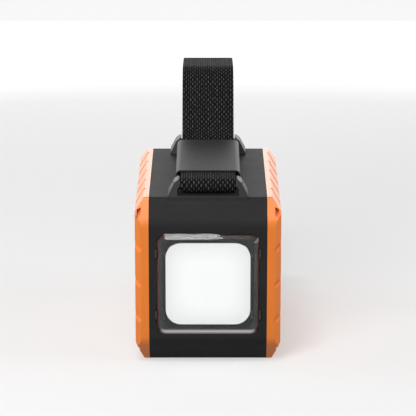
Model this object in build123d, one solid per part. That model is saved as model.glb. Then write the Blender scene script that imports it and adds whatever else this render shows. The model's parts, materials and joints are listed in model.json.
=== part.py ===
from build123d import *
from math import cos, hypot, radians, sin
import os

# A box-shaped rechargeable hand lantern: lens to -Y, +Z up, origin at the centre of the base.
# All sizes in millimetres. A cut runs 1 mm past each face it opens.

# ---- body ----
body_width = 81.0            # charcoal band, between the two bumpers
bumper_thickness = 9.5
body_depth = 160.0
body_height = 116.0
chamfer_run = 10.8           # big slanted edges of the side profile, along Y
chamfer_rise = 15.2          # and along Z
profile_radius = 2.5         # where the slanted edges meet top and bottom
face_radius = 12.0           # and where they meet the front and back
wall = 3.0
fit_gap = 0.15               # between parts that plug into each other
soft_gap = 0.3               # between parts that move or are soft

# ---- bumpers and side plates ----
bumper_top_run = 5.9         # outer chamfers of a bumper, along X
bumper_top_drop = 8.5
bumper_bottom_rise = 14.6
bumper_corner = 3.9          # upright corner chamfers
groove_pitch = 25.3          # diagonal grooves, counted along Z
groove_offset = 110.1        # Z minus Y on the first groove
groove_width = 4.0
groove_depth = 1.5
groove_lean = 0.6            # how far the groove's deepest line lies above its middle
notch_width = 2.8            # small pocket on the slanted front corner of a bumper
notch_height = 6.4
notch_depth = 4.0
notch_slant = 1.6            # how much higher its inner side lies
notch_inset = 2.7
plug_depth = 4.0             # how far a side plate enters the band
plate_gap = 0.2              # between a side plate and its bumper
rim_inset = 4.6
rim_height = 2.5
pan_inset = 13.8
pan_height = 5.7
plate_skin = 2.5
stud_radius = 2.4            # rubber studs that hold a bumper to its plate
stud_spread = 20.0
gasket_width = 1.5
gasket_depth = 1.2
gasket_inset = 2.5           # from the band's edge
side_screw_inset = 8.6
side_boss_radius = 6.2
side_boss_length = 9.5
side_screw_length = 12.0

# ---- screws ----
screw_radius = 1.5
screw_head_radius = 2.75
screw_head_height = 2.2
small_screw_radius = 1.0
small_head_radius = 1.9
small_head_height = 1.5
thread_gap = 0.05            # between a screw and its threaded hole
clear_gap = 0.1              # between a screw and a plain hole
head_gap = 0.15              # round a sunk screw head

# ---- lens ----
lens_center_z = 57.5
lens_width = 71.0
lens_height = 71.5
lens_corner = 7.0
lens_proud = 3.6
lens_bevel = 3.3
lens_step = 0.4              # upright edge of the lens above the band
lens_round = 0.5             # where the bevel meets the lens face
lens_rim = 1.4
lens_face = 1.8
recess_depth = 2.0
frame_depth = 5.5            # thickened wall round an opening, from the outer face
frame_half_width = 36.3
frame_height = 88.0
seal_width = 0.7
seal_height = 1.6
spigot_height = 1.8
diffuser_size = 58.0
diffuser_corner = 10.7
diffuser_thickness = 2.4
catch_width = 1.3
catch_height = 6.0
catch_spread = 22.0          # catches above and below the lens centre

# ---- light box ----
collar_size = 62.0
collar_corner = 6.0
light_box_depth = 22.0
light_box_bore = 55.0
light_box_bore_corner = 4.0
light_box_floor = 2.0
flange_width = 72.0
flange_height = 74.0
flange_thickness = 3.0
flange_screw_offset = 33.0
led_board_size = 52.0
led_board_thickness = 1.6
led_pitch = 10.0
led_size = 3.0
led_height = 0.8
lead_x = 3.0                 # the two leads of the LED board
led_rows = 4
sink_size = 50.0
sink_pedestal = 42.0
sink_base = 4.0
fin_height = 10.0
fin_thickness = 1.6
fin_count = 7
sink_screw_inset = 2.0       # from the heat sink's edge

# ---- battery ----
cell_radius = 9.2
cell_length = 65.0
cell_pitch = 19.6
cell_columns = 4
cell_rows = 2
pack_center_y = 8.0
pack_bottom_z = 16.0
holder_thickness = 5.0
holder_center_x = 28.5
holder_margin = 2.0
holder_foot = 9.0
holder_foot_height = 3.0
floor_boss_height = 3.0
floor_boss_radius = 4.0
strip_thickness = 0.3
strip_width = 8.0
lead_radius = 0.8

# ---- rear panel ----
panel_width = 64.0
panel_height = 80.0
panel_corner = 6.0
panel_thickness = 2.0
panel_seal_thickness = 0.6
panel_opening_width = 52.0
panel_opening_height = 68.0
panel_screw_inset = 3.5
opening_corner = 4.0
sink_depth = 0.9             # how deep the panel's screw heads sit
button_x = 11.0
button_z = 78.0
button_radius = 7.8
button_proud = 1.6
button_travel = 1.5
button_flange = 1.5          # thickness of the flange that keeps a button in
button_flange_reach = 1.4
button_stem_radius = 2.0
button_ring_width = 2.2
button_ring_height = 0.8
window_z = 62.0
window_width = 30.0
window_height = 6.0
board_width = 50.0
board_height = 64.0
board_thickness = 1.6
board_standoff = 10.0        # from the panel's inner face to the board
standoff_radius = 2.8
board_screw_inset_x = 3.0    # from the board's edges
board_screw_inset_z = 4.0
switch_size = 6.0
switch_height = 4.5
level_led_radius = 1.5
level_led_pitch = 5.0

# ---- charge port ----
port_z = 41.0
port_width = 13.0
port_height = 7.6
cover_width = 36.0
cover_height = 20.0
cover_thickness = 2.0
cover_gap = 0.3
hinge_drop = 2.4             # from the cover's lower edge to the hinge axis
hinge_barrel_radius = 1.7
hinge_ear_radius = 1.9
hinge_half_length = 10.0
hinge_ear_width = 3.0
hinge_pin_radius = 1.0
hinge_play = 0.08

# ---- brackets, webbing and sleeve ----
bracket_inset = 19.7         # bracket centres from the body's front and back
bracket_width = 55.0
bracket_knee_width = 46.4    # where the straight flanks of the ears end
bracket_knee_drop = 2.2
bracket_top_width = 41.0
bracket_base_depth = 20.6
bracket_top_depth = 12.0
bracket_height = 11.6
bracket_gap = 42.0
bracket_gap_height = 5.5     # above it the gap narrows
bracket_top_gap = 39.4
bracket_floor = 1.0
bracket_round = 2.2
bracket_screw_x = 23.4
bracket_screw_y = 3.2
bracket_screw_reach = 3.0    # how far the screws enter the ears
bar_height = 6.4             # bar axes above the body's top
front_bar_radius = 3.0
front_bar_shift = 1.3        # in front of its bracket's centre
rear_bar_radius = 2.0
rear_bar_shift = 5.2         # each side of its bracket's centre
bar_seat = 3.0               # how deep a bar sits in each ear
webbing_width = 38.0
webbing_thickness = 2.0
bar_gap = 0.15
sleeve_length = 88.5
sleeve_width = 44.8
sleeve_height = 7.6
sleeve_corner = 3.2
sleeve_wall = 1.2
sleeve_skin = 0.8            # its top, which the webbing fills up to
sleeve_edge = 0.5            # rounding of its end faces
sleeve_lift = 4.9            # clear height under the sleeve
strap_run = 2.0              # flat webbing past each end of the sleeve
neck_length = 12.0           # stitched neck of the hang loop, from the bar axis
neck_angle = 40.0           # above level, leaning back
# bends of the hang loop as Y and Z from its neck: over the top, then back along the underside
loop_bends = [(21.0, 41.1), (114.0, 31.6), (102.0, -6.9), (30.0, 9.0)]
loop_radii = [24.0, 16.0, 22.0, 70.0]
loop_turns = [1, 1, 1, -1]   # -1 where the webbing bends the other way

# ---- places worked out from the sizes above ----
sink_screw_offset = sink_size / 2 - sink_screw_inset
board_screw_x = board_width / 2 - board_screw_inset_x
board_screw_z = board_height / 2 - board_screw_inset_z
band_half = body_width / 2
outer_half = band_half + bumper_thickness
front_y = -body_depth / 2
rear_y = body_depth / 2
top_z = body_height
plate_inner_x = band_half - plug_depth
bar_z = top_z + bar_height
bracket_offset = body_depth / 2 - bracket_inset
front_bar_y = -bracket_offset - front_bar_shift
grip_bar_y = bracket_offset - rear_bar_shift
loop_bar_y = bracket_offset + rear_bar_shift
sleeve_z = top_z + sleeve_lift + sleeve_height / 2
strap_half = webbing_thickness + 0.1
strap_z = sleeve_z + sleeve_height / 2 - sleeve_skin - soft_gap - strap_half
strap_end = sleeve_length / 2 + strap_run
recess_y = front_y + recess_depth
board_front_y = rear_y - panel_thickness - board_standoff
box_floor_y = front_y + light_box_depth
hinge_z = port_z - cover_height / 2 - hinge_drop
hinge_y = rear_y + cover_gap + hinge_barrel_radius + 0.1
led_lead_z = lens_center_z + sink_size / 2 + lead_radius + clear_gap
bar_reach = bracket_gap / 2 + bar_seat
gasket_x = band_half - gasket_inset
diffuser_y = front_y - 0.2


# ---- shape helpers ----
def block(x0, x1, y0, y1, z0, z1):
    size = (x1 - x0, y1 - y0, z1 - z0)
    return Pos((x0 + x1) / 2, (y0 + y1) / 2, (z0 + z1) / 2) * Box(*size)


def rod_x(radius, x0, x1, y, z):
    return Pos((x0 + x1) / 2, y, z) * Rot(0, 90, 0) * Cylinder(radius, x1 - x0)


def rod_y(radius, y0, y1, x, z):
    return Pos(x, (y0 + y1) / 2, z) * Rot(90, 0, 0) * Cylinder(radius, y1 - y0)


def rod_z(radius, z0, z1, x, y):
    return Pos(x, y, (z0 + z1) / 2) * Cylinder(radius, z1 - z0)


def upright(outline, y0, y1):
    """Extrude an outline drawn in X and Z from y0 to y1."""
    return extrude(Plane.XZ.offset(-y1) * outline, amount=y1 - y0)


def pane(width, height, corner, y0, y1, x=0.0, z=lens_center_z):
    return upright(Pos(x, z) * RectangleRounded(width, height, corner), y0, y1)


def tapered_pane(inset0, inset1, y0, y1):
    """A lens-shaped block whose outline shrinks from inset0 at y0 to inset1 at y1."""
    faces = []
    for inset, y in ((inset0, y0), (inset1, y1)):
        outline = RectangleRounded(
            lens_width - 2 * inset, lens_height - 2 * inset, max(lens_corner - inset, 1.0)
        )
        faces.append(Plane.XZ.offset(-y) * Pos(0, lens_center_z) * outline)
    return loft(Sketch() + faces, ruled=True)


def profile_points(inset):
    """Corners of the side profile in Y and Z, moved inward by inset."""
    slope = hypot(chamfer_run, chamfer_rise)
    half = body_depth / 2 - inset
    rise = chamfer_rise + inset * (slope - chamfer_rise) / chamfer_run
    run = chamfer_run + inset * (slope - chamfer_run) / chamfer_rise
    low = inset
    high = body_height - inset
    side_low = rise
    flat_half = body_depth / 2 - run
    return [
        (-half, side_low), (-flat_half, low), (flat_half, low), (half, side_low),
        (half, body_height - side_low), (flat_half, high), (-flat_half, high),
        (-half, body_height - side_low),
    ]


def profile_prism(inset, x0, x1):
    """The side profile, moved inward by inset, as a block from x0 to x1."""
    face = max(profile_radius, face_radius - inset)
    radii = [face, profile_radius, profile_radius, face] * 2
    outline = make_face(FilletPolyline(*profile_points(inset), radius=radii, close=True))
    return extrude(Plane.YZ.offset(x0) * outline, amount=x1 - x0)


def screw_points():
    """Side screw places in Y and Z: four corners and the middles of top and bottom."""
    low = side_screw_inset
    high = body_height - side_screw_inset
    y = body_depth / 2 - chamfer_run - 0.5 * side_screw_inset
    return [(-y, low), (y, low), (0, low), (-y, high), (y, high), (0, high)]


def pan_head_x(y, z, side, head_x, length):
    """A side screw: its head ends at head_x, its shank points inward."""
    shank_end = head_x - screw_head_height - length
    head = rod_x(screw_head_radius, head_x - screw_head_height, head_x, y, z)
    shank = rod_x(screw_radius, shank_end, head_x - screw_head_height, y, z)
    screw = head + shank
    return screw if side > 0 else mirror(screw, about=Plane.YZ)


def small_screw_y(x, z, seat_y, direction, length):
    """A small screw along Y: its head sits on seat_y, its shank points to direction."""
    tip = seat_y + direction * length
    head_end = seat_y - direction * small_head_height
    head = rod_y(small_head_radius, min(seat_y, head_end), max(seat_y, head_end), x, z)
    return head + rod_y(small_screw_radius, min(seat_y, tip), max(seat_y, tip), x, z)


def small_hole_y(x, z, y0, y1):
    return rod_y(small_screw_radius + thread_gap, y0, y1, x, z)


def corners(dx, dz):
    return [(sx * dx, sz * dz) for sx in (-1, 1) for sz in (-1, 1)]


def save(name, shapes):
    """Write one node; several separate solids may share it."""
    solids = []
    for shape in shapes if isinstance(shapes, list) else [shapes]:
        solids.extend(shape.solids())
    result = solids[0] if len(solids) == 1 else Compound(children=solids)
    export_step(result, f"parts/{name}.step")


def save_pair(name, right):
    """Write a right-hand piece and its mirror image."""
    save(f"{name}_right", right)
    save(f"{name}_left", mirror(right, about=Plane.YZ))


# ---- housing ----
def bracket_screw_points():
    return [
        (x, y + dy)
        for y in (-bracket_offset, bracket_offset)
        for x in (-bracket_screw_x, bracket_screw_x)
        for dy in (-bracket_screw_y, bracket_screw_y)
    ]


def main_housing():
    """The charcoal band, open at both sides, with its two framed openings."""
    body = profile_prism(0, -band_half, band_half)
    body -= profile_prism(wall, -outer_half, outer_half)
    low, high = lens_center_z - frame_height / 2, lens_center_z + frame_height / 2
    for y0 in (front_y + wall / 2, rear_y - frame_depth):
        body += block(-frame_half_width, frame_half_width, y0, y0 + frame_depth - wall / 2, low, high)
    # lens recess, spigot and window
    body -= pane(lens_width + 2 * fit_gap, lens_height + 2 * fit_gap, lens_corner + fit_gap,
                 front_y - 1, recess_y)
    spigot = 2 * (lens_rim + seal_width + 0.1)
    body += pane(lens_width - spigot, lens_height - spigot, lens_corner - spigot / 2,
                 recess_y - spigot_height, recess_y)
    window = collar_size + 2 * fit_gap
    body -= pane(window, window, collar_corner + fit_gap, front_y - 1, front_y + frame_depth + 1)
    for x, z in corners(flange_screw_offset, flange_screw_offset):
        body -= small_hole_y(x, lens_center_z + z, recess_y + 0.4, front_y + frame_depth + 1)
    for x, z in lens_catch_points():
        body -= pane(catch_width + 0.1, catch_height + 0.1, 0.6, front_y - 1, recess_y, x, z)
    # rear recess and opening
    seat_y = rear_y - panel_thickness - panel_seal_thickness
    body -= pane(panel_width + 2 * fit_gap, panel_height + 2 * fit_gap, panel_corner + fit_gap,
                 seat_y, rear_y + 1)
    body -= pane(panel_opening_width, panel_opening_height, opening_corner,
                 rear_y - frame_depth - 1, rear_y)
    for x, z in panel_screw_points():
        body -= small_hole_y(x, z, rear_y - frame_depth - 1, rear_y)
    # bosses for the side screws
    boss_end = plate_inner_x - fit_gap
    inside = profile_prism(0.5 * wall, -boss_end, boss_end)
    for side in (-1, 1):
        x0, x1 = sorted((side * (boss_end - side_boss_length), side * boss_end))
        for y, z in screw_points():
            body += rod_x(side_boss_radius, x0, x1, y, z) & inside
            body -= rod_x(screw_radius + thread_gap, x0 + side, x1 + side, y, z)
    # floor bosses for the cell holders, and holes for the bracket screws
    for x, y in holder_screw_points():
        body += rod_z(floor_boss_radius, 0.5 * wall, wall + floor_boss_height, x, y)
        body -= rod_z(screw_radius + thread_gap, wall - 1, wall + floor_boss_height + 1, x, y)
    for x, y in bracket_screw_points():
        body -= rod_z(screw_radius + thread_gap, top_z - wall - 1, top_z + 1, x, y)
    return body


def side_plate():
    """A hard plate that plugs into the band and carries a bumper."""
    plate = profile_prism(wall + fit_gap, plate_inner_x, band_half)
    plate += profile_prism(rim_inset, band_half - 1, band_half + rim_height)
    plate += profile_prism(pan_inset, band_half - 1, band_half + pan_height)
    plate -= profile_prism(pan_inset + plate_skin, plate_inner_x - 1,
                           band_half + pan_height - plate_skin)
    groove = profile_prism(wall - 1, gasket_x, gasket_x + gasket_width)
    groove -= profile_prism(wall + fit_gap + gasket_depth, 0, outer_half)
    plate -= groove
    seat_x = band_half + rim_height - soft_gap - screw_head_height
    for y, z in screw_points():
        plate -= rod_x(screw_head_radius + head_gap, seat_x, outer_half, y, z)
        plate -= rod_x(screw_radius + clear_gap, plate_inner_x - 1, outer_half, y, z)
    for y, z in stud_points():
        plate -= rod_x(stud_radius + clear_gap, plate_inner_x - 1, outer_half, y, z)
    return plate


def stud_points():
    """Stud places in Y and Z: in the flat rim, between its edge and the raised pan."""
    y = body_depth / 2 - (rim_inset + pan_inset) / 2
    return [(sy, body_height / 2 + sz) for sy, sz in corners(y, stud_spread)]


def side_gasket():
    ring = profile_prism(wall, gasket_x, gasket_x + gasket_width)
    return ring - profile_prism(wall + fit_gap + gasket_depth, 0, outer_half)


def side_screws():
    head_x = band_half + rim_height - soft_gap
    return [pan_head_x(y, z, side, head_x, side_screw_length)
            for side in (-1, 1) for y, z in screw_points()]


# ---- bumpers ----
def groove_cut(start, end, normal):
    """A V-shaped groove along a straight line on a flat face, its lower wall the wider one."""
    start, end, normal = Vector(*start), Vector(*end), Vector(*normal).normalized()
    over = 0.5
    half = groove_width / 2 * (1 + over / groove_depth)
    plane = Plane(origin=start, x_dir=normal, z_dir=end - start)
    outline = make_face(Polyline((over, -half), (over, half), (-groove_depth, -groove_lean), close=True))
    return extrude(plane * outline, amount=(end - start).length)


def groove_cuts():
    """The diagonal grooves of the right bumper: planes where Z minus Y is constant."""
    x = outer_half
    y_lim = body_depth / 2 - bumper_corner
    z_low = bumper_bottom_rise
    z_high = body_height - bumper_top_drop
    cuts = []
    for k in range(-8, 4):
        level = groove_offset + k * groove_pitch
        y0, y1 = max(-y_lim, z_low - level), min(y_lim, z_high - level)
        if y1 - y0 < 4:
            continue
        cuts.append(groove_cut((x, y0, y0 + level), (x, y1, y1 + level), (1, 0, 0)))
        ends = []
        if y1 < y_lim:
            ends.append((y1, -bumper_top_run, bumper_top_drop,
                         (bumper_top_drop, 0, bumper_top_run)))
        else:
            ends.append((y1, -bumper_corner, bumper_corner, (1, 1, 0)))
        if y0 > -y_lim:
            ends.append((y0, -bumper_top_run, -bumper_bottom_rise,
                         (bumper_bottom_rise, 0, -bumper_top_run)))
        else:
            ends.append((y0, -bumper_corner, -bumper_corner, (1, -1, 0)))
        for y, dx, dyz, normal in ends:
            tip = (x + dx, y + dyz, y + dyz + level)
            low, high = sorted([(x, y, y + level), tip], key=lambda point: point[2])
            cuts.append(groove_cut(low, high, normal))
    return cuts


def bumper():
    """One rubber bumper: the side profile, chamfered all round, hollow behind."""
    body = profile_prism(0, band_half, outer_half)
    z, y, x, far = body_height, body_depth / 2, outer_half, 2 * body_depth
    knee = x - bumper_top_run
    top = make_face(Polyline((knee, z), (x + bumper_top_run, z - 2 * bumper_top_drop), (far, z + 1),
                             close=True))
    bottom = make_face(Polyline((knee, 0), (x + bumper_top_run, 2 * bumper_bottom_rise), (far, -1),
                                close=True))
    body -= upright(top, -far, far) + upright(bottom, -far, far)
    for sy in (-1, 1):
        corner = Polyline((x - bumper_corner, sy * y), (x + bumper_corner, sy * (y - 2 * bumper_corner)),
                          (x + bumper_corner, sy * (y + 1)), close=True)
        body -= extrude(make_face(corner), amount=far)
    body -= groove_cuts()
    # small pocket at the slanted front corner
    wide, high, slant = notch_width / 2, notch_height / 2, notch_slant / 2
    outline = make_face(Polyline((-wide, slant - high), (wide, -slant - high), (wide, high - slant),
                                 (-wide, high + slant), close=True))
    middle = (outer_half - notch_inset, front_y + 0.4 * chamfer_run, top_z - 0.6 * chamfer_rise)
    face = Plane(origin=middle, x_dir=(1, 0, 0), z_dir=(0, -chamfer_rise, chamfer_run))
    body -= extrude(face * outline, amount=notch_depth, both=True)
    # hollow for the side plate, and studs
    body -= profile_prism(rim_inset - plate_gap, 0, band_half + rim_height + plate_gap)
    body -= profile_prism(pan_inset - plate_gap, 0, band_half + pan_height + plate_gap)
    for sy, sz in stud_points():
        body += rod_x(stud_radius, band_half - 1.5, band_half + rim_height + 1, sy, sz)
    return body


# ---- lens and light ----
def lens_catch_points():
    x = lens_width / 2 + 0.1
    return [(sx * x, lens_center_z + sz * catch_spread) for sx in (-1, 1) for sz in (-1, 1)]


def diffuser_catch_points():
    x = (diffuser_size + collar_size) / 4 + 0.1
    return [(sx * x, lens_center_z + sz * catch_spread) for sx in (-1, 1) for sz in (-1, 1)]


def lens_cover():
    """Clear cover: a shallow tub with a bevelled edge."""
    step_y = front_y - lens_step
    cover = pane(lens_width, lens_height, lens_corner, step_y, recess_y)
    cover += tapered_pane(0, lens_bevel, step_y, front_y - lens_proud)
    cover = fillet(cover.faces().sort_by(Axis.Y)[0].outer_wire().edges(), radius=lens_round)
    cover -= pane(lens_width - 2 * lens_rim, lens_height - 2 * lens_rim, lens_corner - lens_rim,
                  front_y, recess_y + 1)
    cover -= tapered_pane(lens_rim, lens_bevel + 0.3, front_y, front_y - lens_proud + lens_face)
    for x, z in lens_catch_points():
        cover -= pane(catch_width + 0.3, catch_height + 0.3, 0.7, front_y - lens_proud - 1,
                      recess_y + 1, x, z)
    return cover


def lens_seal():
    inner = lens_rim + 0.05
    outer = inner + seal_width
    ring = pane(lens_width - 2 * inner, lens_height - 2 * inner, lens_corner - inner,
                recess_y - seal_height, recess_y)
    return ring - pane(lens_width - 2 * outer, lens_height - 2 * outer, lens_corner - outer,
                       recess_y - seal_height - 1, recess_y + 1)


def lens_catches():
    tip = front_y - lens_step - 1.0
    return [pane(catch_width, catch_height, 0.6, tip, recess_y, x, z) for x, z in lens_catch_points()]


def diffuser():
    return pane(diffuser_size, diffuser_size, diffuser_corner, diffuser_y,
                diffuser_y + diffuser_thickness)


def diffuser_catches():
    y1 = front_y + 0.6
    return [pane(catch_width - 0.1, catch_height, 0.55, front_y - 0.7, y1, x, z)
            for x, z in diffuser_catch_points()]


def light_box():
    """Tray behind the lens that carries the diffuser and the LED board."""
    size = collar_size
    tray = pane(size, size, collar_corner, front_y, box_floor_y)
    flange_y = front_y + frame_depth
    tray += pane(flange_width, flange_height, 8.0, flange_y, flange_y + flange_thickness)
    seat = diffuser_size + 0.2
    tray -= pane(seat, seat, diffuser_corner + 0.1, front_y - 1, diffuser_y + diffuser_thickness)
    tray -= pane(light_box_bore, light_box_bore, light_box_bore_corner,
                 front_y, box_floor_y - light_box_floor)
    tray -= pane(sink_pedestal + 0.3, sink_pedestal + 0.3, 2.0, front_y, box_floor_y + 1)
    for x, z in diffuser_catch_points():
        tray -= pane(catch_width, catch_height + 0.1, 0.6, front_y - 1, front_y + 0.6, x, z)
    for x, z in corners(flange_screw_offset, flange_screw_offset):
        tray -= small_hole_y(x, lens_center_z + z, flange_y - 1, flange_y + flange_thickness + 1)
    for x, z in corners(sink_screw_offset, sink_screw_offset):
        tray -= small_hole_y(x, lens_center_z + z, box_floor_y - 4, box_floor_y + 1)
    for x in (-lead_x, lead_x):
        tray -= rod_y(lead_radius + clear_gap, box_floor_y - 4, box_floor_y + 1, x, led_lead_z)
    return tray


def light_box_screws():
    seat = front_y + frame_depth + flange_thickness
    return [small_screw_y(x, lens_center_z + z, seat, -1, flange_thickness + 2.6)
            for x, z in corners(flange_screw_offset, flange_screw_offset)]


def led_board():
    y1 = box_floor_y - light_box_floor
    size = led_board_size
    board = pane(size, size, 3.0, y1 - led_board_thickness, y1)
    for x, z in corners(sink_screw_offset, sink_screw_offset):
        board -= small_hole_y(x, lens_center_z + z, y1 - 4, y1 + 1)
    return board


def led_chips():
    y1 = box_floor_y - light_box_floor - led_board_thickness
    half = (led_rows - 1) / 2
    return [
        pane(led_size, led_size, 0.4, y1 - led_height, y1, (i - half) * led_pitch,
             lens_center_z + (j - half) * led_pitch)
        for i in range(led_rows) for j in range(led_rows)
    ]


def heat_sink():
    y0 = box_floor_y
    sink = pane(sink_size, sink_size, 2.0, y0, y0 + sink_base)
    sink += pane(sink_pedestal, sink_pedestal, 1.9, y0 - light_box_floor, y0 + 1)
    pitch = (sink_size - fin_thickness) / (fin_count - 1)
    for i in range(fin_count):
        x = -sink_size / 2 + i * pitch
        sink += block(x, x + fin_thickness, y0 + sink_base - 1, y0 + sink_base + fin_height,
                      lens_center_z - sink_size / 2 + 2, lens_center_z + sink_size / 2 - 2)
    for x, z in corners(sink_screw_offset, sink_screw_offset):
        sink -= small_hole_y(x, lens_center_z + z, y0 - 4, y0 + sink_base - 0.5)
    return sink


def heat_sink_screws():
    seat = box_floor_y - light_box_floor - led_board_thickness
    length = light_box_floor + led_board_thickness + sink_base - 0.8
    return [small_screw_y(x, lens_center_z + z, seat, 1, length)
            for x, z in corners(sink_screw_offset, sink_screw_offset)]


# ---- battery ----
def cell_points():
    y0 = pack_center_y - (cell_columns - 1) / 2 * cell_pitch
    z0 = pack_bottom_z + cell_radius + holder_margin
    return [(y0 + i * cell_pitch, z0 + j * cell_pitch)
            for i in range(cell_columns) for j in range(cell_rows)]


def battery_cells():
    return [rod_x(cell_radius, -cell_length / 2, cell_length / 2, y, z) for y, z in cell_points()]


def holder_screw_points():
    reach = (cell_columns - 1) / 2 * cell_pitch
    x = holder_center_x - holder_thickness / 2 - holder_foot / 2
    return [(sx * x, pack_center_y + sy * reach) for sx in (-1, 1) for sy in (-1, 1)]


def cell_holder():
    """An upright plate with a hole for each cell, standing on two screwed feet."""
    x0 = holder_center_x - holder_thickness / 2
    x1 = holder_center_x + holder_thickness / 2
    reach = (cell_columns - 1) / 2 * cell_pitch + cell_radius + holder_margin
    foot_z = wall + floor_boss_height
    top = pack_bottom_z + cell_rows * cell_pitch + holder_margin
    plate = block(x0, x1, pack_center_y - reach, pack_center_y + reach, foot_z, top)
    gap = reach - 2 * cell_radius
    plate -= block(x0 - 1, x1 + 1, pack_center_y - gap, pack_center_y + gap, 0, pack_bottom_z)
    for y, z in cell_points():
        plate -= rod_x(cell_radius + clear_gap, x0 - 1, x1 + 1, y, z)
    for x, y in holder_screw_points():
        if x < 0:
            continue
        plate += block(x0 - holder_foot, x0 + 1, y - holder_foot / 2, y + holder_foot / 2,
                       foot_z, foot_z + holder_foot_height)
        plate -= rod_z(screw_radius + clear_gap, foot_z - 1, foot_z + holder_foot_height + 1, x, y)
    return plate


def holder_screws():
    seat = wall + floor_boss_height + holder_foot_height
    tip = wall - 0.8
    return [rod_z(screw_head_radius, seat, seat + screw_head_height, x, y)
            + rod_z(screw_radius, tip, seat, x, y) for x, y in holder_screw_points()]


def nickel_strips():
    """Strips across the cell ends, one up each column."""
    strips = []
    rise = (cell_rows - 1) * cell_pitch
    for side in (-1, 1):
        x0, x1 = sorted((side * cell_length / 2, side * (cell_length / 2 + strip_thickness)))
        for i in range(cell_columns):
            y, z = cell_points()[i * cell_rows]
            strips.append(block(x0, x1, y - strip_width / 2, y + strip_width / 2,
                                z - strip_width / 2, z + rise + strip_width / 2))
    return strips


def lead(points, radii):
    """A lead along straight runs joined by arcs."""
    path = FilletPolyline(*points, radius=radii)
    start = Vector(*points[0])
    plane = Plane(origin=start, z_dir=Vector(*points[1]) - start)
    return sweep(plane * Circle(lead_radius), path=path)


def arc_radii(points):
    """The largest arc that each corner's two runs allow."""
    radii = []
    for before, here, after in zip(points, points[1:], points[2:]):
        one = Vector(*here) - Vector(*before)
        two = Vector(*after) - Vector(*here)
        half_turn = radians(one.get_angle(two)) / 2
        radii.append(0.45 * min(one.length, two.length) / (sin(half_turn) / cos(half_turn)))
    return radii


def battery_leads():
    """From the top of the last column's strips to the control board."""
    y, z = cell_points()[-1]
    x = cell_length / 2 + strip_thickness + lead_radius
    end_y = board_front_y - board_thickness
    wires = []
    for side in (-1, 1):
        points = [
            (side * x, y, z), (side * x, y, z + 12), (side * 27.0, y + 4, z + 24),
            (side * 17.0, end_y - 9, z + 29), (side * 17.0, end_y, z + 29),
        ]
        wires.append(lead(points, arc_radii(points)))
    return wires


def led_leads():
    """From the LED board, over the cells, to the control board."""
    wires = []
    z = led_lead_z
    end_y = board_front_y - board_thickness
    for x in (-lead_x, lead_x):
        points = [
            (x, box_floor_y - light_box_floor, z), (x, box_floor_y + 14, z + 0.4), (x, -22, z + 9),
            (x, 6, z + 13), (x, 34, z + 11), (x, end_y - 12, z + 2), (x, end_y, z + 2),
        ]
        wires.append(lead(points, arc_radii(points)))
    return wires


# ---- rear panel and control board ----
def panel_screw_points():
    x = panel_width / 2 - panel_screw_inset
    z = panel_height / 2 - panel_screw_inset
    return [(sx, lens_center_z + sz) for sx, sz in corners(x, z)]


def rear_seal():
    y1 = rear_y - panel_thickness
    ring = pane(panel_width - 0.4, panel_height - 0.4, panel_corner - 0.2, y1 - panel_seal_thickness, y1)
    ring -= pane(panel_opening_width, panel_opening_height, opening_corner, y1 - 2, y1 + 1)
    for x, z in panel_screw_points():
        ring -= small_hole_y(x, z, y1 - 2, y1 + 1)
    return ring


def rear_panel():
    """Control panel with its raised button rings, port hole, hinge ears and standoffs."""
    y0 = rear_y - panel_thickness
    panel = pane(panel_width - 0.4, panel_height - 0.4, panel_corner - 0.2, y0, rear_y)
    for x in (-button_x, button_x):
        panel += rod_y(button_radius + button_ring_width, y0, rear_y + button_ring_height, x, button_z)
    for x, z in corners(board_screw_x, board_screw_z):
        panel += rod_y(standoff_radius, board_front_y, y0 + 0.5, x, lens_center_z + z)
        panel -= small_hole_y(x, lens_center_z + z, board_front_y - 1, y0 - 1)
    ear_x = hinge_half_length + soft_gap
    for sx in (-1, 1):
        x0, x1 = sorted((sx * ear_x, sx * (ear_x + hinge_ear_width)))
        panel += block(x0, x1, rear_y - 0.5, hinge_y, hinge_z - hinge_ear_radius,
                       hinge_z + hinge_ear_radius)
        panel += rod_x(hinge_ear_radius, x0, x1, hinge_y, hinge_z)
    panel -= rod_x(hinge_pin_radius + 0.02, -ear_x - 10, ear_x + 10, hinge_y, hinge_z)
    for x in (-button_x, button_x):
        panel -= rod_y(button_radius + soft_gap, y0 - 1, rear_y + 3, x, button_z)
    panel -= pane(window_width + 0.2, window_height + 0.2, 2.5, y0 - 1, rear_y + 1, 0, window_z)
    panel -= pane(port_width, port_height, 2.0, y0 - 1, rear_y + 1, 0, port_z)
    for x, z in panel_screw_points():
        panel -= small_hole_y(x, z, y0 - 1, rear_y + 1)
        panel -= rod_y(small_head_radius + head_gap, rear_y - sink_depth, rear_y + 1, x, z)
    return panel


def rear_screws():
    seat = rear_y - sink_depth
    return [small_screw_y(x, z, seat, -1, 4.2) for x, z in panel_screw_points()]


def button(x):
    """A push button: domed cap, retaining flange and stem."""
    y0 = rear_y - panel_thickness
    flange_y = y0 - soft_gap
    cap = rod_y(button_radius, flange_y - button_flange, rear_y + button_proud, x, button_z)
    cap = fillet(cap.edges().filter_by(GeomType.CIRCLE).sort_by(Axis.Y)[-1:], radius=1.0)
    cap += rod_y(button_radius + button_flange_reach, flange_y - button_flange, flange_y, x, button_z)
    stem_end = board_front_y + switch_height + button_travel + soft_gap
    return cap + rod_y(button_stem_radius, stem_end, flange_y - 0.5, x, button_z)


def level_window():
    y0 = rear_y - panel_thickness
    glass = pane(window_width, window_height, 2.4, y0 - 1.2, rear_y + 0.3, 0, window_z)
    return glass + pane(window_width + 2.4, window_height + 2.4, 3.0, y0 - 1.2, y0, 0, window_z)


def control_board():
    y0 = board_front_y - board_thickness
    board = pane(board_width, board_height, 2.0, y0, board_front_y)
    for x, z in corners(board_screw_x, board_screw_z):
        board -= small_hole_y(x, lens_center_z + z, y0 - 1, board_front_y + 1)
    return board


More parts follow.
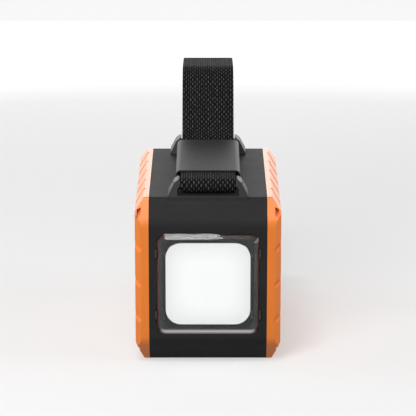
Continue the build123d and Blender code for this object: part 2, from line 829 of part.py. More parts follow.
def board_screws():
    seat = board_front_y - board_thickness
    return [small_screw_y(x, lens_center_z + z, seat, 1, board_thickness + 6)
            for x, z in corners(board_screw_x, board_screw_z)]


def tact_switches():
    body_height_y = switch_height - 1.0
    half = switch_size / 2
    return [
        block(x - half, x + half, board_front_y, board_front_y + body_height_y,
              button_z - half, button_z + half)
        + rod_y(1.6, board_front_y, board_front_y + switch_height, x, button_z)
        for x in (-button_x, button_x)
    ]


def level_leds():
    top = rear_y - panel_thickness - 2.0
    return [rod_y(level_led_radius, board_front_y, top, i * level_led_pitch, window_z)
            for i in range(-2, 3)]


def charge_socket():
    y1 = rear_y - panel_thickness - 0.3
    shell = pane(9.0, 3.4, 1.6, board_front_y, y1, 0, port_z)
    shell -= pane(8.3, 2.7, 1.3, y1 - 6.0, y1 + 1, 0, port_z)
    return shell + pane(6.6, 0.7, 0.3, y1 - 6.5, y1 - 0.8, 0, port_z)


def port_cover():
    """Hinged cover with a plug that fills the port hole, and a lip to lift it by."""
    y0 = rear_y + cover_gap
    y1 = y0 + cover_thickness
    cover = pane(cover_width, cover_height, 3.0, y0, y1, 0, port_z)
    cover += pane(14.0, 4.0, 1.4, y0 + 0.7, y1 + 1.0, 0, port_z + cover_height / 2)
    cover += pane(port_width - 0.8, port_height - 1.4, 1.5, rear_y - panel_thickness + 0.2, y0 + 0.5,
                  0, port_z)
    neck = block(-hinge_half_length, hinge_half_length, y0 + 0.2, y1, hinge_z,
                 port_z - cover_height / 2 + 1)
    cover += neck
    cover += rod_x(hinge_barrel_radius, -hinge_half_length, hinge_half_length, hinge_y, hinge_z)
    return cover - rod_x(hinge_pin_radius + hinge_play, -outer_half, outer_half, hinge_y, hinge_z)


def port_hinge_pin():
    reach = hinge_half_length + soft_gap + hinge_ear_width
    return rod_x(hinge_pin_radius, -reach, reach, hinge_y, hinge_z)


# ---- brackets, bars and webbing ----
def bracket(side):
    """A strap bracket: two fender-shaped ears on a thin base that laps over the slanted edge."""
    half, knee, top_half = bracket_width / 2, bracket_knee_width / 2, bracket_top_width / 2
    height = bracket_height
    knee_z = top_z + height - bracket_knee_drop
    front = make_face(Polyline(
        (-half, top_z - 3), (half, top_z - 3), (half, top_z + 1), (knee, knee_z),
        (top_half, top_z + height), (-top_half, top_z + height), (-knee, knee_z),
        (-half, top_z + 1), close=True))
    front = Plane.XZ * fillet(front.vertices().filter_by(lambda v: v.Y > top_z), radius=bracket_round)
    body = extrude(front, amount=bracket_base_depth / 2, both=True)
    base, top = bracket_base_depth / 2, bracket_top_depth / 2
    trapezoid = make_face(Polyline((-base, top_z - 4), (base, top_z - 4), (base, top_z + 0.5),
                                   (top, top_z + height), (-top, top_z + height),
                                   (-base, top_z + 0.5), close=True))
    trapezoid = fillet(trapezoid.vertices().sort_by(Axis.Y)[-2:], radius=2.0)
    body &= extrude(Plane.YZ * trapezoid, amount=bracket_width, both=True)
    gap, top_gap = bracket_gap / 2, bracket_top_gap / 2
    step = (bracket_gap - bracket_top_gap) / 2
    floor_z, step_z = top_z + bracket_floor, top_z + bracket_gap_height
    slot = make_face(Polyline(
        (-gap, floor_z), (gap, floor_z), (gap, step_z), (top_gap, step_z + step),
        (top_gap, top_z + height + 1), (-top_gap, top_z + height + 1), (-top_gap, step_z + step),
        (-gap, step_z), close=True))
    slot = fillet(slot.vertices().group_by(Axis.Y)[0], radius=0.8)
    body -= extrude(Plane.XZ * slot, amount=bracket_base_depth, both=True)
    body = Pos(0, side * bracket_offset, 0) * body
    body -= profile_prism(0, -outer_half, outer_half)
    for x, y in bracket_screw_points():
        if y * side > 0:
            body -= rod_z(screw_radius + thread_gap, top_z - 1, top_z + bracket_screw_reach, x, y)
    bars = [(front_bar_y, front_bar_radius)]
    if side > 0:
        bars = [(grip_bar_y, rear_bar_radius), (loop_bar_y, rear_bar_radius)]
    for y, radius in bars:
        body -= rod_x(radius, -bar_reach, bar_reach, y, bar_z)
    return body


def bracket_screws():
    seat = top_z - wall
    return [rod_z(screw_head_radius, seat - screw_head_height, seat, x, y)
            + rod_z(screw_radius, seat, top_z + bracket_screw_reach, x, y)
            for x, y in bracket_screw_points()]


def bar(y, radius):
    return rod_x(radius, -bar_reach, bar_reach, y, bar_z)


def hull(circles):
    """Convex outline round circles given as centre (Y, Z) and radius."""
    edges = [Pos(y, z) * Edge.make_circle(radius) for y, z, radius in circles]
    return make_hull(edges)


def across(outline):
    """Extrude an outline drawn in Y and Z over the webbing's width."""
    return extrude(Plane.YZ * outline, amount=webbing_width / 2, both=True)


def grip_strap():
    """Webbing round the front bar and the rear grip bar, its layers stitched in between."""
    front_eye = front_bar_radius + bar_gap
    rear_eye = rear_bar_radius + bar_gap
    front_end, rear_end = (-strap_end, strap_z), (strap_end, strap_z)
    front_bar_at, rear_bar_at = (front_bar_y, bar_z), (grip_bar_y, bar_z)
    outline = hull([(*front_bar_at, front_eye + webbing_thickness), (*front_end, strap_half)])
    outline += hull([(*front_end, strap_half), (*rear_end, strap_half)])
    outline += hull([(*rear_end, strap_half), (*rear_bar_at, rear_eye + webbing_thickness)])
    strap = across(outline)
    strap -= across(hull([(*front_bar_at, front_eye), (front_end[0] - 2, strap_z, 0.2)]))
    strap -= across(hull([(*rear_bar_at, rear_eye), (rear_end[0] + 1.5, strap_z, 0.2)]))
    return strap


def strap_sleeve():
    """Smooth moulded sleeve on the grip strap."""
    outline = Pos(0, sleeve_z) * RectangleRounded(sleeve_width, sleeve_height, sleeve_corner)
    sleeve = upright(outline, -sleeve_length / 2, sleeve_length / 2)
    sleeve = fillet(sleeve.faces().filter_by(Axis.Y).edges(), radius=sleeve_edge)
    inside = sleeve_height - sleeve_skin - sleeve_wall
    channel = RectangleRounded(sleeve_width - 2 * sleeve_wall, inside, sleeve_corner - sleeve_wall)
    channel = Pos(0, sleeve_z + (sleeve_wall - sleeve_skin) / 2) * channel
    return sleeve - upright(channel, -sleeve_length, sleeve_length)


def loop_corners():
    """Corners of the hang loop's outer line in Y and Z; the first is the top of its neck."""
    neck_y = loop_bar_y + neck_length * cos(radians(neck_angle))
    neck_z = bar_z + neck_length * sin(radians(neck_angle))
    return [(neck_y, neck_z)] + [(neck_y + dy, neck_z + dz) for dy, dz in loop_bends]


def inset_outline(points, amount):
    """Corner points of a closed clockwise outline, moved inward by amount."""
    moved = []
    for before, here, after in zip(points[-1:] + points[:-1], points, points[1:] + points[:1]):
        one = (Vector(*here) - Vector(*before)).normalized()
        two = (Vector(*after) - Vector(*here)).normalized()
        share = amount / (1 + one.dot(two))
        moved.append((here[0] + share * (one.Y + two.Y), here[1] - share * (one.X + two.X)))
    return moved


def hang_loop():
    """Webbing loop: an eye round its bar, a stitched neck and a teardrop that leans back."""
    t = webbing_thickness
    points = loop_corners()
    inner_radii = [radius - turn * t for radius, turn in zip(loop_radii, loop_turns)]
    band = make_face(FilletPolyline(*points, radius=[0.5 * t, *loop_radii], close=True))
    band -= make_face(FilletPolyline(*inset_outline(points, t), radius=[0, *inner_radii], close=True))
    neck_y, neck_z = points[0]
    eye = rear_bar_radius + soft_gap
    band += hull([(loop_bar_y, bar_z, t), (neck_y, neck_z, t)])
    band += Pos(loop_bar_y, bar_z) * Circle(eye + t)
    band -= Pos(loop_bar_y, bar_z) * Circle(eye)
    return across(band)


# ---- write every node ----
os.makedirs("parts", exist_ok=True)
save("main_housing", main_housing())
save_pair("side_plate", side_plate())
save_pair("side_gasket", side_gasket())
save("side_screws", side_screws())
save_pair("bumper", bumper())
save("lens_cover", lens_cover())
save("lens_seal", lens_seal())
save("lens_catches", lens_catches())
save("diffuser", diffuser())
save("diffuser_catches", diffuser_catches())
save("light_box", light_box())
save("light_box_screws", light_box_screws())
save("led_board", led_board())
save("led_chips", led_chips())
save("heat_sink", heat_sink())
save("heat_sink_screws", heat_sink_screws())
save("battery_cells", battery_cells())
save_pair("cell_holder", cell_holder())
save("holder_screws", holder_screws())
save("nickel_strips", nickel_strips())
save("battery_leads", battery_leads())
save("led_leads", led_leads())
save("control_board", control_board())
save("board_screws", board_screws())
save("tact_switches", tact_switches())
save("level_leds", level_leds())
save("charge_socket", charge_socket())
save("rear_panel", rear_panel())
save("rear_seal", rear_seal())
save("rear_screws", rear_screws())
save("power_button", button(-button_x))
save("mode_button", button(button_x))
save("level_window", level_window())
save("port_cover", port_cover())
save("port_hinge_pin", port_hinge_pin())
save("front_bracket", bracket(-1))
save("rear_bracket", bracket(1))
save("bracket_screws", bracket_screws())
save("front_bar", bar(front_bar_y, front_bar_radius))
save("rear_grip_bar", bar(grip_bar_y, rear_bar_radius))
save("rear_loop_bar", bar(loop_bar_y, rear_bar_radius))
save("grip_strap", grip_strap())
save("strap_sleeve", strap_sleeve())
save("hang_loop", hang_loop())
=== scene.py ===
import json
from math import acos, atan2, cos, hypot, pi, radians, sin, tan

import bmesh
import bpy
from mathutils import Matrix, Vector


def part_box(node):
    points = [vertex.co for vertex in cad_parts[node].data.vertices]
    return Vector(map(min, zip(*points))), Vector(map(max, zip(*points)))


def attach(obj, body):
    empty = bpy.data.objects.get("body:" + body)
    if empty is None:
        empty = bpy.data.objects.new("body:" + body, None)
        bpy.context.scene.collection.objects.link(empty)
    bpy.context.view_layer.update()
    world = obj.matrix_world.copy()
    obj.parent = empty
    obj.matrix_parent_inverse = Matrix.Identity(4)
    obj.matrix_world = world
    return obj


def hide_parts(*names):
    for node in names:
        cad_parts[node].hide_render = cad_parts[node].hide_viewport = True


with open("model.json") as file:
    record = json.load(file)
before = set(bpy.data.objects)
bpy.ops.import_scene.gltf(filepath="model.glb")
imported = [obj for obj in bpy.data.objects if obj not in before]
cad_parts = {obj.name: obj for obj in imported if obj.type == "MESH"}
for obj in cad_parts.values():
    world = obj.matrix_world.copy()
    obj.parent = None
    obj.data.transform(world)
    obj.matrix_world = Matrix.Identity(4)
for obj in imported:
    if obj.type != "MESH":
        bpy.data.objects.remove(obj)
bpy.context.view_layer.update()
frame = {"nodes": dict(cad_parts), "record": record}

# A box-shaped hand lantern: lens to -Y, +Z up. Everything is in metres.
MM = 0.001
webbing_thickness = 2.0 * MM
webbing_width = 38.0 * MM
thread_width = 1.65 * MM     # one column of the weave
thread_length = 3.8 * MM     # one rise and dip of a thread

front_bar_radius = 3.0 * MM
rear_bar_radius = 2.0 * MM
grip_bar_gap = 0.15 * MM     # between a bar and the webbing round it
loop_bar_gap = 0.40 * MM
grip_layer_gap = 0.10 * MM   # between the two layers of a strap
loop_layer_gap = 0.04 * MM
strap_drop = 3.2 * MM        # middle of the grip strap, below the top of its sleeve
strap_run = 2.0 * MM         # flat webbing past each end of the sleeve
loop_lean = radians(40.0)    # of the loop's neck, above level
pinch_length = 7.5 * MM      # from the bar's axis to where the two layers meet
neck_length = 12.0 * MM      # and to where they part again
# corners of the loop's outer line, over the top and back to its neck: Y and Z in millimetres from there
loop_bends = [(21.0, 41.1), (114.0, 31.6), (102.0, -6.9), (30.0, 9.0)]
loop_radii = [24.0, 16.0, 22.0, 70.0]   # of the arcs at these corners, in millimetres

camera_lens = 196.1
camera_place = (0.0, -1.5618, 0.5229)
camera_dip = 15.52           # degrees below level

# greys of the studio: what the camera and reflections see, and what lights the object
floor_seen, floor_lighting = 0.42, 0.12
world_seen, world_lighting = 0.82, 0.08
floor_edge = 12.0            # half of the floor's side
floor_gap = 0.2 * MM         # below the lantern's base
floor_glow = (0.45, 0.84)    # near the lantern and far out
floor_glow_reach = (0.75, 1.10)   # distances from the lantern between which it changes


def middle(node):
    """The centre of a node's box."""
    low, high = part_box(node)
    return (Vector(low) + Vector(high)) / 2


# ---- camera, floor and light ----
def make_camera():
    data = bpy.data.cameras.new("camera")
    data.sensor_width = 36.0
    data.lens = camera_lens
    camera = bpy.data.objects.new("camera", data)
    bpy.context.scene.collection.objects.link(camera)
    camera.location = camera_place
    camera.rotation_euler = (radians(90.0 - camera_dip), 0.0, 0.0)
    bpy.context.scene.camera = camera


def make_light(name, location, target, size, watts):
    """A soft rectangular lamp that faces its target."""
    data = bpy.data.lights.new(name, "AREA")
    data.shape = "RECTANGLE"
    data.size, data.size_y = size
    data.energy = watts
    light = bpy.data.objects.new(name, data)
    bpy.context.scene.collection.objects.link(light)
    light.location = location
    aim = Vector(target) - Vector(location)
    light.rotation_euler = aim.to_track_quat("-Z", "Y").to_euler()


def seen_directly(tree):
    """1 for camera, glossy and transmission rays, 0 for the rays that light the object."""
    path = tree.nodes.new("ShaderNodeLightPath")
    total = path.outputs["Is Camera Ray"]
    for name in ("Is Glossy Ray", "Is Transmission Ray"):
        both = tree.nodes.new("ShaderNodeMath")
        both.operation = "MAXIMUM"
        tree.links.new(total, both.inputs[0])
        tree.links.new(path.outputs[name], both.inputs[1])
        total = both.outputs[0]
    return total


def studio_grey(tree, seen, seen_grey, lighting_grey):
    """A grey that differs between the rays that see it and those that light the object."""
    tone = tree.nodes.new("ShaderNodeMix")
    tone.data_type = "RGBA"
    first, second = [socket for socket in tone.inputs if socket.type == "RGBA"]
    first.default_value = (lighting_grey, lighting_grey, lighting_grey, 1.0)
    second.default_value = (seen_grey, seen_grey, seen_grey, 1.0)
    tree.links.new(seen, tone.inputs["Factor"])
    return [socket for socket in tone.outputs if socket.type == "RGBA"][0]


def make_floor():
    """A pale floor that throws little of its light back at the object and stays pale far out."""
    mesh = bpy.data.meshes.new("floor")
    corners = [(-1, -1), (1, -1), (1, 1), (-1, 1)]
    mesh.from_pydata([(x * floor_edge, y * floor_edge, 0) for x, y in corners], [], [(0, 1, 2, 3)])
    floor = bpy.data.objects.new("floor", mesh)
    bpy.context.scene.collection.objects.link(floor)
    floor.location.z = -floor_gap
    material = bpy.data.materials.new("floor")
    material.use_nodes = True
    tree = material.node_tree
    shader = tree.nodes["Principled BSDF"]
    shader.inputs["Roughness"].default_value = 1.0
    shader.inputs["Specular IOR Level"].default_value = 0.0
    seen = seen_directly(tree)
    grey = studio_grey(tree, seen, floor_seen, floor_lighting)
    tree.links.new(grey, shader.inputs["Base Color"])
    tree.links.new(seen, shader.inputs["Emission Strength"])
    spot = tree.nodes.new("ShaderNodeTexCoord")
    away = tree.nodes.new("ShaderNodeVectorMath")
    away.operation = "LENGTH"
    tree.links.new(spot.outputs["Object"], away.inputs[0])
    glow = tree.nodes.new("ShaderNodeMapRange")
    glow.inputs["From Min"].default_value, glow.inputs["From Max"].default_value = floor_glow_reach
    glow.inputs["To Min"].default_value, glow.inputs["To Max"].default_value = floor_glow
    tree.links.new(away.outputs["Value"], glow.inputs["Value"])
    tree.links.new(glow.outputs["Result"], shader.inputs["Emission Color"])
    mesh.materials.append(material)


def make_world():
    world = bpy.data.worlds.new("studio")
    bpy.context.scene.world = world
    world.use_nodes = True
    tree = world.node_tree
    background = tree.nodes["Background"]
    grey = studio_grey(tree, seen_directly(tree), world_seen, world_lighting)
    tree.links.new(grey, background.inputs["Color"])


# ---- materials ----
class Finish:
    """A material with a Principled shader and the nodes that drive it."""

    def __init__(self, name, roughness=0.5, **sockets):
        self.material = bpy.data.materials.new(name)
        self.material.use_nodes = True
        self.tree = self.material.node_tree
        self.shader = self.tree.nodes["Principled BSDF"]
        self.shader.inputs["Roughness"].default_value = roughness
        for socket, value in sockets.items():
            self.shader.inputs[socket.replace("_", " ")].default_value = value

    def node(self, kind, inputs=(), **settings):
        """Adds a node; a value that is an output socket is linked to its input."""
        made = self.tree.nodes.new("ShaderNode" + kind)
        for key, value in settings.items():
            setattr(made, key, value)
        for key, value in dict(inputs).items():
            if isinstance(value, bpy.types.NodeSocket):
                self.tree.links.new(value, made.inputs[key])
            else:
                made.inputs[key].default_value = value
        return made

    def drive(self, socket, output):
        self.tree.links.new(output, self.shader.inputs[socket])

    def math(self, operation, *values):
        return self.node("Math", dict(enumerate(values)), operation=operation).outputs[0]

    def place(self, scale=(1.0, 1.0, 1.0), source="Object"):
        """The surface's own coordinates, stretched by scale."""
        coordinates = self.node("TexCoord").outputs[source]
        return self.node("Mapping", {"Vector": coordinates, "Scale": scale}).outputs["Vector"]

    def noise(self, grain, detail=3.0, scale=(1.0, 1.0, 1.0), source="Object"):
        """Noise whose features are about grain metres across."""
        return self.node("TexNoise", {"Vector": self.place(scale, source), "Scale": 1.0 / grain,
                                      "Detail": detail}).outputs["Fac"]

    def ramp(self, factor, stops):
        """Turns a factor into a colour; stops are (position, colour)."""
        made = self.node("ValToRGB", {"Fac": factor})
        points = made.color_ramp.elements
        while len(points) < len(stops):
            points.new(0.5)
        for point, (position, color) in zip(points, stops):
            point.position = position
            point.color = (*color, 1.0)
        return made.outputs["Color"]

    def between(self, value, start, end, low, high):
        """Maps start..end of a value to low..high."""
        made = self.node("MapRange", {"Value": value, "From Min": start, "From Max": end,
                                      "To Min": low, "To Max": high})
        return made.outputs["Result"]

    def level(self, factor, low, high):
        """Maps the middle of a noise factor to low..high."""
        return self.between(factor, 0.3, 0.7, low, high)

    def bump(self, height, distance):
        inputs = {"Height": height, "Distance": distance, "Strength": 1.0}
        return self.node("Bump", inputs).outputs["Normal"]


def shade(color, factor):
    return tuple(min(1.0, c * factor) for c in color)


def moulded(name, color, roughness, grain=0.5 * MM, relief=0.02 * MM, spread=0.10, uneven=0.05, **sockets):
    """Moulded plastic or rubber: faint clouding, a fine skin and, unless uneven is 0, varied gloss."""
    made = Finish(name, roughness, **sockets)
    cloud_size, patch_size = 18 * MM, 6 * MM
    clouds = made.noise(cloud_size, detail=4.0)
    made.drive("Base Color", made.ramp(clouds, [(0.3, shade(color, 1 - spread)),
                                                (0.7, shade(color, 1 + spread))]))
    if uneven:
        gloss = made.level(made.noise(patch_size), roughness - uneven, roughness + uneven)
        made.drive("Roughness", gloss)
    made.drive("Normal", made.bump(made.noise(grain, detail=2.0), relief))
    return made.material


def metal(name, color, roughness):
    """Brushed or plated metal: fine scratches drawn out along Y."""
    scratch_width, stretch, uneven = 0.4 * MM, (1.0, 0.04, 1.0), 0.08
    made = Finish(name, roughness, Metallic=1.0)
    scratches = made.noise(scratch_width, scale=stretch)
    made.drive("Base Color", made.ramp(scratches, [(0.3, shade(color, 0.86)), (0.7, color)]))
    made.drive("Roughness", made.level(scratches, roughness - uneven, roughness + uneven))
    made.drive("Normal", made.bump(scratches, 0.01 * MM))
    return made.material


def clear(name, color, ior=1.23, painted_bevel_glow=0.0):
    """Clear plastic with a barely uneven polish.

    Light from the lamps goes through it, and a lower bevel can carry a painted glow: an emission that
    stands in for a highlight there.
    The default IOR is low for plastic: a higher one makes the highlight on the upper bevel too bright.
    """
    made = Finish(name, 0.0, IOR=ior, Transmission_Weight=1.0, Base_Color=(*color, 1.0))
    # painted highlight: the lower bevel glows by emission, though it is no lamp
    if painted_bevel_glow:
        facing = made.node("SeparateXYZ", {0: made.node("TexCoord").outputs["Normal"]}).outputs
        # the lower bevel faces half down and half forward
        down = made.between(facing["Z"], -0.45, -0.68, 0.0, painted_bevel_glow)
        front = made.between(facing["Y"], -0.2, -0.5, 0.0, 1.0)
        made.shader.inputs["Emission Color"].default_value = (1.0, 1.0, 1.0, 1.0)
        made.drive("Emission Strength", made.math("MULTIPLY", down, front))
    patch_size = 9 * MM
    made.drive("Roughness", made.level(made.noise(patch_size), 0.03, 0.05))
    path = made.node("LightPath").outputs["Is Shadow Ray"]
    through = made.node("BsdfTransparent", {"Color": (*color, 1.0)}).outputs[0]
    both = made.node("MixShader", {0: path, 1: made.shader.outputs[0], 2: through}).outputs[0]
    made.tree.links.new(both, made.tree.nodes["Material Output"].inputs["Surface"])
    return made.material


def opal():
    """The lit diffuser: brightest in the middle, and dimmer along rounded squares towards its edge."""
    made = Finish("white_diffuser", 0.4, Base_Color=(0.12, 0.12, 0.12, 1.0), Emission_Strength=0.72)
    spot = made.node("SeparateXYZ", {0: made.place()}).outputs
    low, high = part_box("diffuser")
    half = (high[0] - low[0]) / 2
    centre = middle("diffuser")
    fourth_powers = []
    for axis, value in (("X", centre.x), ("Z", centre.z)):
        away = made.math("DIVIDE", made.math("SUBTRACT", spot[axis], value), half)
        square = made.math("MULTIPLY", away, away)
        fourth_powers.append(made.math("MULTIPLY", square, square))
    reach = made.math("POWER", made.math("ADD", *fourth_powers), 0.25)
    greys = [(0.55, 0.98), (0.80, 0.90), (1.0, 0.80)]
    made.drive("Emission Color", made.ramp(reach, [(at, (grey, grey, grey)) for at, grey in greys]))
    return made.material


def woven():
    """Nylon webbing: columns of threads that rise and dip by turns. The colour carries painted shade in the
    dips and in the gaps between columns, and is lighter on the crowns.
    """
    made = Finish("webbing", 0.8, Specular_IOR_Level=0.03)
    math = made.math
    spot = made.node("SeparateXYZ", {0: made.place((1 / thread_length, 1 / thread_width, 1.0),
                                            source="UV")})
    along, across = spot.outputs["X"], spot.outputs["Y"]
    shift = math("MULTIPLY", math("MODULO", math("FLOOR", across), 2.0), 0.5)
    wave = math("COSINE", math("MULTIPLY", math("ADD", along, shift), 2 * pi))
    rise = math("MULTIPLY_ADD", wave, 0.30, 0.70)
    sides = math("SINE", math("MULTIPLY", math("FRACT", across), pi))
    height = math("MULTIPLY", rise, sides)
    loose = made.level(made.noise(1.5 * MM, source="UV"), 0.45, 1.25)
    # painted shade: the colour follows the weave's height, near black in the dips and gaps and lighter on
    # the crowns; loose adds random tone
    tone = math("MULTIPLY", height, loose)
    made.drive("Base Color", made.ramp(tone, [(0.25, (0.004, 0.004, 0.004)), (0.62, (0.026, 0.026, 0.0262)),
                                              (1.0, (0.095, 0.095, 0.096))]))
    made.drive("Normal", made.bump(height, 0.45 * MM))
    return made.material


def make_finishes():
    """One material for each slot of the record."""
    orange = (0.80, 0.200, 0.016)
    return {
        "charcoal_plastic": moulded("charcoal_plastic", (0.016, 0.016, 0.0164), 0.60, relief=0.01 * MM,
                                    uneven=0.02, Specular_IOR_Level=0.10),
        "hard_black_plastic": moulded("hard_black_plastic", (0.020, 0.020, 0.021), 0.5),
        "orange_rubber": moulded("orange_rubber", orange, 0.28, relief=0.002 * MM, spread=0.03,
                                 uneven=0.0),
        # the lens carries a painted glow on its lower bevel
        "clear_lens": clear("clear_lens", (0.97, 0.98, 0.98), painted_bevel_glow=0.20),
        "red_silicone": moulded("red_silicone", (0.060, 0.007, 0.004), 0.6, Specular_IOR_Level=0.1),
        "white_diffuser": opal(),
        "gloss_black": moulded("gloss_black", (0.012, 0.012, 0.013), 0.15, relief=0.004 * MM),
        "tray_plastic": moulded("tray_plastic", (0.010, 0.010, 0.0105), 0.6, Specular_IOR_Level=0.1),
        "bracket_plastic": moulded("bracket_plastic", (0.018, 0.018, 0.0184), 0.45, relief=0.005 * MM,
                                    uneven=0.02, Specular_IOR_Level=0.16),
        "sleeve_plastic": moulded("sleeve_plastic", (0.020, 0.020, 0.0204), 0.48, relief=0.001 * MM,
                                  uneven=0.01, Specular_IOR_Level=0.08),
        "webbing": woven(),
        "steel": metal("steel", (0.55, 0.55, 0.56), 0.35),
        "black_steel": moulded("black_steel", (0.012, 0.012, 0.012), 0.4, relief=0.006 * MM),
        "cast_aluminium": metal("cast_aluminium", (0.70, 0.70, 0.71), 0.45),
        "circuit_board": moulded("circuit_board", (0.02, 0.16, 0.07), 0.3, grain=1.5 * MM),
        "white_board": moulded("white_board", (0.78, 0.78, 0.77), 0.4, grain=1.5 * MM),
        "led_chip": moulded("led_chip", (0.90, 0.70, 0.20), 0.35),
        "cell_wrap": moulded("cell_wrap", (0.05, 0.20, 0.38), 0.3),
        "nickel": metal("nickel", (0.66, 0.64, 0.60), 0.3),
        "black_rubber": moulded("black_rubber", (0.018, 0.018, 0.018), 0.7),
        "lead_red": moulded("lead_red", (0.45, 0.03, 0.02), 0.45),
        "lead_white": moulded("lead_white", (0.65, 0.65, 0.64), 0.45),
        "button_rubber": moulded("button_rubber", orange, 0.5),
        "grey_button": moulded("grey_button", (0.050, 0.050, 0.052), 0.6),
        "smoked_window": clear("smoked_window", (0.20, 0.22, 0.23), ior=1.45),
    }


def finish_cad_nodes(finishes):
    for row in frame["record"]["subparts"]:
        node = frame["nodes"][row["node"]]
        finish = finishes[row["material_slot"]]
        if not node.material_slots:
            node.data.materials.append(finish)
        for slot in node.material_slots:
            slot.material = finish


# ---- webbing ----
def arc(centre, radius, start, end, steps=24):
    """Points round a centre from one angle to another, in Y and Z."""
    turns = [start + (end - start) * i / steps for i in range(steps + 1)]
    return [Vector((centre[0] + radius * cos(a), centre[1] + radius * sin(a))) for a in turns]


def evenly(line, step):
    """Points at even steps along a closed line."""
    ring = line + line[:1]
    lengths = [(b - a).length for a, b in zip(ring, ring[1:])]
    count = max(8, round(sum(lengths) / step))
    goal, gone, points = sum(lengths) / count, 0.0, []
    for a, b, length in zip(ring, ring[1:], lengths):
        while len(points) * goal < gone + length and len(points) < count:
            points.append(a.lerp(b, (len(points) * goal - gone) / length))
        gone += length
    return points


def relaxed(line, rounds):
    """A closed line with its bends eased."""
    for _ in range(rounds):
        line = [(a + 2 * b + c) / 4 for a, b, c in zip(line[-1:] + line[:-1], line, line[1:] + line[:1])]
    return line


def ribbon(name, line, material):
    """Webbing along a closed line in Y and Z that runs through the middle of its thickness."""
    half_width, half_depth = webbing_width / 2, webbing_thickness / 2
    lip = 0.8 * half_depth   # how far in the rounding of an edge reaches
    ends = [(half_width, 0.45 * half_depth), (half_width - 0.3 * lip, 0.85 * half_depth),
            (half_width - lip, half_depth)]
    section = []
    for sx, sz in ((1, 1), (-1, 1), (-1, -1), (1, -1)):
        run = [(sx * x, sz * z) for x, z in ends]
        section += run if sx * sz > 0 else run[::-1]
    # one more point in the middle of each broad side
    section.insert(len(ends), (0.0, half_depth))
    section.insert(3 * len(ends) + 1, (0.0, -half_depth))
    across = [0.0]
    for a, b in zip(section, section[1:] + section[:1]):
        across.append(across[-1] + hypot(b[0] - a[0], b[1] - a[1]))
    mesh = bmesh.new()
    layer = mesh.loops.layers.uv.new("weave")
    rings, along = [], [0.0]
    count = len(line)
    for i, point in enumerate(line):
        way = (line[(i + 1) % count] - line[i - 1]).normalized()
        out = Vector((-way.y, way.x))
        spots = [point + out * z for _, z in section]
        rings.append([mesh.verts.new((x, spot.x, spot.y)) for (x, _), spot in zip(section, spots)])
        along.append(along[-1] + (line[(i + 1) % count] - point).length)
    sides = len(section)
    for i in range(count):
        for j in range(sides):
            one, two = rings[i], rings[(i + 1) % count]
            face = mesh.faces.new((one[j], one[(j + 1) % sides], two[(j + 1) % sides], two[j]))
            face.smooth = True
            marks = ((i, j), (i, j + 1), (i + 1, j + 1), (i + 1, j))
            for corner, (a, b) in zip(face.loops, marks):
                corner[layer].uv = (along[a], across[b])
    bmesh.ops.recalc_face_normals(mesh, faces=mesh.faces)
    data = bpy.data.meshes.new(name)
    mesh.to_mesh(data)
    mesh.free()
    data.materials.append(material)
    piece = bpy.data.objects.new(name, data)
    bpy.context.scene.collection.objects.link(piece)
    return piece


def tangent(centre, radius, spot, side):
    """The angle at which a line from a spot in Y and Z meets a circle, on one side of it."""
    away = spot - centre
    return atan2(away.y, away.x) + side * acos(radius / away.length)


def round_bar(bar, bar_radius, gap, before, after):
    """From one spot in Y and Z, round a bar with a gap all round it and back to another spot."""
    centre = Vector((bar.y, bar.z))
    radius = bar_radius + gap + webbing_thickness / 2
    first = tangent(centre, radius, before, -1)
    last = tangent(centre, radius, after, 1)
    return arc(centre, radius, first, last - 2 * pi if last > first else last)


def make_grip_webbing(material):
    """Round the front bar, through the sleeve and round the rear grip bar."""
    front, rear = middle("front_bar"), middle("rear_grip_bar")
    layer = (webbing_thickness + grip_layer_gap) / 2
    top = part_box("strap_sleeve")[1]
    z = top[2] - strap_drop
    flat = top[1] + strap_run
    rear_top, rear_low = Vector((flat, z + layer)), Vector((flat, z - layer))
    front_top, front_low = Vector((-flat, z + layer)), Vector((-flat, z - layer))
    line = [rear_top, *round_bar(rear, rear_bar_radius, grip_bar_gap, rear_top, rear_low), rear_low]
    line += [front_low, *round_bar(front, front_bar_radius, grip_bar_gap, front_low, front_top), front_top]
    piece = ribbon("grip_webbing", relaxed(evenly(line, step=1.0 * MM), rounds=2), material)
    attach(piece, "lantern")
    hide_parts("grip_strap")


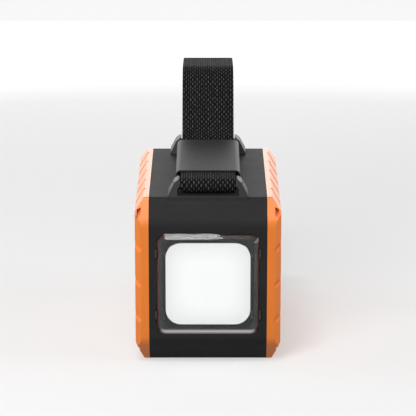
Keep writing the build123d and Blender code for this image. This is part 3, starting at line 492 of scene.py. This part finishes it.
def rounded(corners, radii):
    """A line through corners that are rounded by arcs."""
    line = [corners[0]]
    for before, here, after, radius in zip(corners, corners[1:], corners[2:], radii):
        one, two = (here - before).normalized(), (after - here).normalized()
        turn = one.angle_signed(two)
        cut = radius * tan(abs(turn) / 2)
        start = here - one * cut
        side = 1 if one.x * two.y - one.y * two.x > 0 else -1
        centre = start + Vector((-one.y, one.x)) * radius * side
        first = atan2(start.y - centre.y, start.x - centre.x)
        line += arc(centre, radius, first, first + side * abs(turn), steps=16)
    return line + [corners[-1]]


def make_hang_loop(material):
    """An eye round its bar, a neck of two layers and a teardrop that leans back."""
    bar = middle("rear_loop_bar")
    centre = Vector((bar.y, bar.z))
    along = Vector((cos(loop_lean), sin(loop_lean)))
    aside = Vector((-along.y, along.x)) * (webbing_thickness + loop_layer_gap) / 2
    pinch, neck = centre + along * pinch_length, centre + along * neck_length
    corners = [neck + Vector((y, z)) * MM for y, z in loop_bends]
    outer = rounded([neck, *corners, neck], [radius * MM for radius in loop_radii])
    line = []
    for before, here, after in zip(outer, outer[1:], outer[2:]):
        way = (after - before).normalized()
        line.append(here + Vector((way.y, -way.x)) * aside.length)
    line += [neck - aside, pinch - aside]
    line += round_bar(bar, rear_bar_radius, loop_bar_gap, pinch - aside, pinch + aside)
    line += [pinch + aside, neck + aside]
    piece = ribbon("loop_webbing", relaxed(evenly(line, step=0.8 * MM), rounds=4), material)
    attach(piece, "hang_loop")
    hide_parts("hang_loop")


make_camera()
make_world()
make_floor()
make_light("key", (-0.50, -0.98, 0.52), (0.0, 0.0, 0.06), (0.6, 0.6), 8.6)
make_light("high", (-0.15, -0.85, 1.10), (0.0, 0.0, 0.08), (0.8, 0.6), 3.6)
make_light("top", (-0.17, -0.42, 1.20), (-0.02, -0.08, 0.09), (0.36, 0.12), 4.6)
make_light("rim", (0.0, 1.10, 0.36), (0.0, 0.0, 0.10), (1.8, 0.60), 7.8)
make_light("left", (-1.10, 0.10, 0.60), (0.0, 0.0, 0.08), (0.5, 0.5), 3.0)
make_light("right", (1.05, -0.15, 0.30), (0.0, 0.0, 0.06), (0.5, 0.5), 6.0)
finishes = make_finishes()
finish_cad_nodes(finishes)
make_grip_webbing(finishes["webbing"])
make_hang_loop(finishes["webbing"])

bpy.context.scene.view_settings.view_transform = "Standard"
